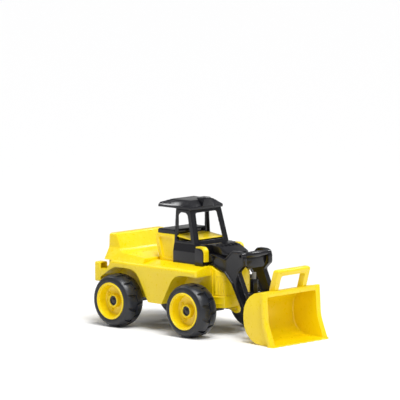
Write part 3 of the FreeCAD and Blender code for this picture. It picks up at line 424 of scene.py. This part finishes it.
def tyre_visual(wheel):
    """Whole tyre: the carcass with two rows of blocks, half a step apart."""
    centre = wheel_centre(wheel)[0]
    parts = [tyre_carcass(wheel)]
    count = 12
    for row, shift in ((1, 0.0), (-1, 0.5)):
        first = tyre_block(wheel, row)
        for i in range(count):
            parts.append(turned_copy(first, "lug_copy", (i + shift) * 2 * math.pi / count, centre))
        bpy.data.objects.remove(first)
    for piece in parts[1:]:
        soften(piece, 1.6 * MM, 3, 30)
    return shaded(join("tyre_moulded_" + wheel, parts), SMOOTH)


def rim_visual(wheel):
    """Dished rim with a raised rolled lip, a hub boss and four nut bosses with dimples."""
    centre, side = wheel_centre(wheel)
    lip, inner, edge = reach("rim_" + wheel, side)
    cap_foot, cap = reach("hub_cap_" + wheel, side)[1:]
    floor, hub_face = lip - 33 * MM, lip - 15 * MM
    bore, tube, wall = 8.3 * MM, 11 * MM, 3 * MM
    profile = [(bore, inner), (tube, inner), (tube, floor - wall), (edge - 0.3 * MM, floor - wall)]
    profile += from_corner(edge, lip, [(-0.3, -2.5)])
    profile += arc(edge - 3 * MM, lip - 2.5 * MM, (2.7 * MM, 2.5 * MM), 90, -90, 6)
    profile += from_corner(edge, lip, [(-6.4, -5), (-8.4, -6), (-9.4, -9)])
    profile += from_corner(edge, floor, [(-11.5, 5), (-13.5, 1.5), (-17, 0)])
    profile += from_corner(0, floor, [(26, 0), (23.5, 1), (22.3, 4)])
    profile += from_corner(0, hub_face, [(21.8, -2), (21, -0.5), (19.6, 0)])
    profile += from_corner(cap, hub_face, [(1.2, 0), (0.1, -1.2)])
    profile += [(cap + 0.1 * MM, cap_foot), (bore, cap_foot)]
    parts = [lathe("dish", profile, centre, side, 128)]
    nut = [(1.9, -1), (1.9, 3.4), (2.6, 5), (4.4, 5), (5.3, 4.2), (5.7, 1.2), (6.6, 0.2), (6.6, -1)]
    well = [(0.01, 0.6), (2.1, 0.6), (2.1, -0.6), (0.01, -0.6)]
    nuts, first_nut, nut_circle = 4, math.radians(60), 39 * MM
    for i in range(nuts):
        turn = first_nut + 2 * math.pi * i / nuts
        place = centre + Vector((0, -math.cos(turn), math.sin(turn))) * nut_circle
        parts.append(lathe("nut", from_corner(0, floor, nut), place, side, 32))
        parts.append(lathe("well", from_corner(0, floor, well), place, side, 24))
    return shaded(join("rim_moulded_" + wheel, parts), DISH_SMOOTH)


def hub_cap_visual(wheel):
    """Black dished cap that clears the end of its axle."""
    centre, side = wheel_centre(wheel)
    face, foot, radius = reach("hub_cap_" + wheel, side)
    wall, middle, inside = 2 * MM, 0.01, -3
    profile = from_corner(0, face, [(middle, -1.2), (7, -1.2), (8, -1.8), (11, -1.9), (12.5, -1.4),
                                    (13.4, -0.6), (14.2, 0)])
    profile += from_corner(radius, face, [(-1.2, 0), (0, -1.2)])
    profile += [(radius, foot), (radius - wall, foot)]
    profile += from_corner(radius - wall, face, [(0, inside)])
    profile += from_corner(0, face, [(middle, inside)])
    piece = lathe("hub_cap_moulded_" + wheel, profile, centre, side, 64)
    return shaded(piece, DISH_SMOOTH)


# ---------------------------------------------------------------- loader arms, nose, hood and cab details
front_axle = wheel_centre("front_right")[0]


def lay(ahead, height, radius=0.0):
    """Corner of a side view, given ahead of the front axle and above the floor in millimetres."""
    return front_axle.y - ahead * MM, height * MM, radius * MM


def side_slab(name, corners, low, high):
    """Plate drawn in side view between two places across."""
    return plate(name, [lay(*corner) for corner in corners], 0, low, high)


def sink_faces(piece, axis, rim, depth, least_area):
    """Inset the large flat faces that look along an axis and push them in, leaving a border."""
    for way in (1, -1):
        edit(piece)
        bpy.ops.object.mode_set(mode="EDIT")
        bpy.ops.mesh.select_mode(type="FACE")
        done()
        for f in piece.data.polygons:
            f.select = f.normal[axis] * way > 0.99 and f.area > least_area
        bpy.ops.object.mode_set(mode="EDIT")
        bpy.ops.mesh.inset(thickness=rim, depth=0)
        move = Vector((0, 0, 0))
        move[axis] = -way * depth
        bpy.ops.mesh.extrude_region_move(TRANSFORM_OT_translate={"value": move})
        done()
    return tidy(piece)


def arm_visual(side_name):
    """Loader arm: a flanged casting with a valley behind its elbow, sunk faces and pivot bosses."""
    low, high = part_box("arm_" + side_name)
    shoulder = [(-8, 244, 14), (-8, 274, 15), (34, 270, 20), (74, 261, 16)]
    elbow = [(106, 291, 12), (159, 291, 24), (159, 245, 12), (135, 222, 8)]
    wrist = [(159, 171, 40), (195, 95, 8), (195, 61, 16), (161, 61, 16), (161, 80, 8)]
    inside = [(104, 181, 40), (72, 214, 10)]
    flange, sunk, least_web = 5.5 * MM, 4.5 * MM, 0.004
    casting = side_slab("casting", shoulder + elbow + wrist + inside, low.x, high.x)
    sink_faces(casting, 0, flange, sunk, least_web)
    soften(casting, 1.6 * MM, 3, 30)
    parts = [casting]
    back, wall, chamfer = 0.6 * MM, 5.6 * MM, 1.2 * MM
    near, far = low.x + back, high.x - back
    bosses = ((lay(178, 78), 12 * MM), (lay(8, 258), 13 * MM), (lay(146, 277), 11 * MM))
    for spot, radius in bosses:
        ring = [(radius - wall, near), (radius - chamfer, near), (radius, near + chamfer),
                (radius, far - chamfer), (radius - chamfer, far), (radius - wall, far)]
        parts.append(lathe("boss", ring, Vector((0, *spot[:2])), 1, 48))
    return shaded(join("arm_moulded_" + side_name, parts), CASTING_SMOOTH)


def plan_strip(name, start, end, proud, low, high):
    """Upright rib that stands out of a wall running from start to end in top view (x, ahead)."""
    a, b = (Vector((x * MM, front_axle.y - ahead * MM)) for x, ahead in (start, end))
    out = Vector(((b - a).y, -(b - a).x)).normalized()
    if out.x * a.x < 0:
        out = -out
    inside = out * -1.0 * MM
    outline = [a + inside, b + inside, b + out * proud * MM, a + out * proud * MM]
    return plate(name, [(p.x, p.y) for p in outline], 2, low * MM, high * MM)


def between(start, end, share):
    """Point part of the way along a wall in top view."""
    return tuple(a + (b - a) * share for a, b in zip(start, end))


def nose_ribs():
    """Upright ribs and the framed panels on the sides and chamfers of the nose, and its band's beads."""
    side, corner, front_half, front = 78, 38, 60, 66
    foot, top = 132, 214
    rib, thin_rib, rail = 2.4, 2.0, 1.6
    belt_side, belt_front_half, belt_front = 82, 63, 69
    parts = []
    for way in (-1, 1):
        wall = ((way * side, 21), (way * side, corner))
        chamfer = ((way * side, corner), (way * front_half, front))
        face = ((way * front_half, front), (way * 47, front))
        parts.append(plan_strip("rib", between(*wall, 0.06), between(*wall, 0.30), rib, foot, top + 2))
        parts.append(plan_strip("rib", between(*wall, 0.84), wall[1], rib, foot, top))
        parts.append(plan_strip("rib", chamfer[0], between(*chamfer, 0.08), rib, foot, top))
        for share in (0.30, 0.55, 0.80):
            ends = between(*chamfer, share), between(*chamfer, share + 0.09)
            parts.append(plan_strip("rib", *ends, thin_rib, 140, 206))
        parts.append(plan_strip("rail", *chamfer, rail, 136, 141))
        parts.append(plan_strip("rail", *chamfer, rail, 199, 204))
        parts.append(plan_strip("rail", between(*face, 0.1), face[1], rail, 136, 141))
        belt = ((way * belt_side, 21), (way * belt_side, 37))
        belt_chamfer = ((way * belt_side, 39), (way * belt_front_half, belt_front))
        for low, high in ((107, 110), (128, 132)):
            for run in (belt, belt_chamfer):
                parts.append(plan_strip("bead", *run, 1.5, low, high))
    for piece in parts:
        soften(piece, 0.7 * MM, 2, 30)
    return join("nose_ribs", parts)


def hood_louvres():
    """Raised louvres across the front of the hood, each with a sharp lit top edge."""
    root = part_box("hood")[1].z - 3 * MM
    count, pitch, half_width = 5, 17 * MM, 4.2 * MM
    crest = [(2, 0), (5, 4.6, 1), (30, 4.6, 1.5), (36, 1), (33, -4), (2, -4)]
    outline = [(front_axle.y - ahead * MM, root + rise * MM, sum(corner) * MM)
               for ahead, rise, *corner in crest]
    parts = []
    for i in range(count):
        across = (i - count // 2) * pitch
        parts.append(plate("louvre", outline, 0, across - half_width, across + half_width))
    for piece in parts:
        soften(piece, 0.9 * MM, 2, 30)
    return join("hood_louvres", parts)


def screen_frame():
    """Raised inner frame round the windscreen opening, leaning back with the cab's front."""
    low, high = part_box("cab_frame")
    foot = low.z + 9 * MM
    lean = math.atan(29.0 / 115.0)
    head = foot + (high.z - low.z - 21 * MM) / math.cos(lean)
    face = low.y - 0.6 * MM

    def opening(foot_half, head_half, proud, corner):
        """Trapezium across the cab, larger than the gap by what it stands proud."""
        return [(-foot_half, foot - proud, corner), (-head_half, head + proud, corner),
                (head_half, head + proud, corner), (foot_half, foot - proud, corner)]
    rim_outline = opening(64 * MM, 56.5 * MM, 3.5 * MM, 11 * MM)
    gap_outline = opening(60 * MM, 52.5 * MM, -0.5 * MM, 8 * MM)
    rim = plate("screen_frame", rim_outline, 1, face - 0.8 * MM, face + 4.5 * MM)
    gap = plate("screen_gap", gap_outline, 1, face - 9 * MM, face + 19 * MM)
    cut(rim, gap)
    grab(rim)
    bpy.ops.transform.rotate(value=lean, orient_axis="X", center_override=(0, low.y, low.z))
    done()
    return soften(rim, 1.2 * MM, 3, 30)


def roof_visor():
    """Rounded visor lip along the front edge of the roof and down its front corners."""
    low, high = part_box("roof")
    half = high.x - 1.0 * MM
    section = [(-1.5, -2.5, 2), (-1.5, 7.5, 3), (9, 12, 3), (9, -2.5, 0)]
    outline = [(low.y + back * MM, low.z + rise * MM, corner * MM) for back, rise, corner in section]
    return soften(plate("roof_visor", outline, 0, -half, half), 1.5 * MM, 3, 30)


def bucket_lip(wide):
    """Scalloped lip along the front of the bucket's floor."""
    teeth, root, tip, back, thick = 8, 349.5 * MM, 355.5 * MM, 330 * MM, 4.2 * MM
    side = wide - 1 * MM
    pitch = 2 * side / teeth
    edge = [(-side, front_axle.y - back)]
    for i in range(teeth):
        left = i * pitch - side
        edge += [(left, front_axle.y - root, 1 * MM)]
        edge += [(left + pitch * share, front_axle.y - tip, 3 * MM) for share in (0.2, 0.8)]
    edge += [(side, front_axle.y - root, 1 * MM), (side, front_axle.y - back)]
    return soften(plate("lip", edge, 2, 0.0, thick), 1.0 * MM, 2, 40)


def bucket_visual():
    """Bucket: round-backed tray with filleted corners, a thick top rim, side flanges and a scalloped lip."""
    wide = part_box("bucket_shell")[1].x
    cheek = wide - 19.5 * MM
    wall = 3.6 * MM
    tray = side_slab("tray", [(206, 0, 78), (206, 167, 78), (310, 178), (317, 75, 110), (345, 6), (347, 0)],
                     -cheek, cheek)
    room = side_slab("room", [(210, 3.6, 74), (210, 163, 74), (296, 172), (298, 161), (420, 161), (420, 3.6)],
                     wall - cheek, cheek - wall)
    cut(tray, soften(room, 5 * MM, 5, 40))
    soften(tray, 1.5 * MM, 3, 40)
    parts = [tray]
    flange_outline = [(296, 178, 6), (311, 178, 3), (318, 75, 110), (346, 5), (347, 0), (331, 0),
                      (303, 75, 110)]
    rib_outline = [(291, 171), (296, 177), (298, 177), (305, 75, 110), (333, 1), (327, 1), (298, 75, 110)]
    for way in (-1, 1):
        flange_sides = sorted((way * (cheek - 0.5 * MM), way * (wide - 1.5 * MM)))
        rib_sides = sorted((way * (cheek - 1 * MM), way * (cheek + 3 * MM)))
        parts.append(soften(side_slab("flange", flange_outline, *flange_sides), 3.2 * MM, 4, 40))
        parts.append(soften(side_slab("rim_rib", rib_outline, *rib_sides), 1.2 * MM, 2, 40))
    parts.append(bucket_lip(wide))
    return shaded(join("bucket_shell_moulded", parts), CASTING_SMOOTH)


def details():
    """Modelled pieces that stand for nodes or sit on them."""
    for side_name in ("right", "left"):
        finish_piece(arm_visual(side_name), black, "loader", "arm_" + side_name)
    finish_piece(bucket_visual(), yellow, "bucket", "bucket_shell")
    for piece, finish in ((nose_ribs(), yellow), (hood_louvres(), black), (screen_frame(), black),
                          (roof_visor(), black)):
        finish_piece(piece, finish, "chassis")


# ---------------------------------------------------------------- mouldings that follow the frame's forms
def wheel_sets():
    """Tyres, rims and hub caps of the four wheels."""
    for wheel in WHEELS:
        body = "wheel_" + wheel
        finish_piece(tyre_visual(wheel), tread_black, body, "tyre_" + wheel)
        finish_piece(rim_visual(wheel), yellow, body, "rim_" + wheel)
        finish_piece(hub_cap_visual(wheel), black, body, "hub_cap_" + wheel)


# Width of each moulding's rounded edges, in millimetres.
EDGE_WIDTHS = {
    "main_body": 1.4, "nose": 1.4, "hood": 1.4, "cab_frame": 1.9, "roof": 3.5, "roof_pod": 3.5,
    "console": 1.6, "console_pad": 2.0, "seat": 2.4, "rear_bumper": 1.3, "lamp_right": 1.6, "lamp_left": 1.6,
    "lamp_bezel_right": 1.2, "lamp_bezel_left": 1.2, "bucket_handle": 6.0, "arm_cross_tube": 2.0,
    "arm_cross_plate": 1.0, "ram_barrel": 1.2, "cab_deck": 1.0, "tow_eye": 1.2, "bucket_lug_right": 1.0,
    "bucket_lug_left": 1.0}


def edged_mouldings():
    """Panels and castings whose form is the node's own, with its moulded edges rounded."""
    for node, width in EDGE_WIDTHS.items():
        piece = moulding(node, width * MM)
        piece.name = node + "_moulded"
        finish_piece(piece, finish_of_slot[slot_of_node[node]], body_of_node[node], node)


def hardware():
    """Pins, axles and small fixings keep their own forms and take real finishes."""
    for name, node in nodes.items():
        node.data.materials.clear()
        node.data.materials.append(finish_of_slot[slot_of_node[name]])


# ---------------------------------------------------------------- floor, light and camera
def facing(direction):
    """Turn that points a light's or camera's back along a direction."""
    return direction.to_track_quat("Z", "Y").to_euler()


def paper_floor():
    """Pale paper, wide enough to have no edge in view."""
    bpy.ops.object.select_all(action="DESELECT")
    bpy.ops.mesh.primitive_plane_add(size=60)
    floor = bpy.context.active_object
    floor.name = "studio_floor"
    paper, tree, shader, node = new_finish("studio_paper", "floor")
    place = node("ShaderNodeTexCoord").outputs["Object"]
    grain = node("ShaderNodeTexNoise", {"Vector": place, "Scale": 90.0}).outputs["Fac"]
    shade, light = (0.945, 0.945, 0.948), (0.955, 0.955, 0.955)
    tree.links.new(colour_steps(node, grain, [(0.3, shade), (0.7, light)]), shader.inputs["Base Color"])
    shader.inputs["Roughness"].default_value = 0.9
    floor.data.materials.append(paper)


def studio_lights():
    """White surroundings, a softbox overhead and four soft suns."""
    world = bpy.data.worlds.new("studio")
    bpy.context.scene.world = world
    world.use_nodes = True
    background = world.node_tree.nodes["Background"]
    background.inputs["Color"].default_value = (1, 1, 1, 1)
    background.inputs["Strength"].default_value = 0.36
    spot, target = Vector((-0.35, -0.35, 1.75)), Vector((0, -0.1, 0.2))
    bpy.ops.object.light_add(type="AREA", location=spot)
    softbox = bpy.context.active_object
    softbox.name = "softbox"
    softbox.data.shape = "RECTANGLE"
    softbox.data.size, softbox.data.size_y = 1.1, 0.55
    softbox.data.energy = 12.0
    softbox.rotation_euler = facing(spot - target)
    # Name, direction that it comes from, width in degrees, strength.
    suns = (("window_light", (-0.25, -0.6, 1.3), 30, 1.75), ("edge_light", (-0.44, -0.74, 0.46), 6, 0.3),
            ("far_light", (0.72, -0.2, 0.66), 9, 0.45), ("back_light", (-0.05, 0.7, 0.7), 12, 0.35))
    for name, way, width, power in suns:
        bpy.ops.object.light_add(type="SUN", location=Vector(way) * 3)
        light = bpy.context.active_object
        light.name = name
        light.data.angle = math.radians(width)
        light.data.energy = power
        light.rotation_euler = facing(Vector(way))


def studio_camera():
    """Long lens from the toy's front right, looking slightly down."""
    azimuth, elevation, distance = math.radians(-46.5), math.radians(7.0), 12.0
    back = Vector((math.sin(azimuth) * math.cos(elevation), -math.cos(azimuth) * math.cos(elevation),
                   math.sin(elevation)))
    aim = Vector((0, 0.057, 0.437))
    bpy.ops.object.camera_add(location=aim + back * distance)
    camera = bpy.context.active_object
    camera.rotation_euler = facing(back)
    camera.data.lens = 321
    bpy.context.scene.camera = camera
    bpy.context.scene.view_settings.view_transform = "Standard"


wheel_sets()
details()
edged_mouldings()
hardware()
paper_floor()
studio_lights()
studio_camera()
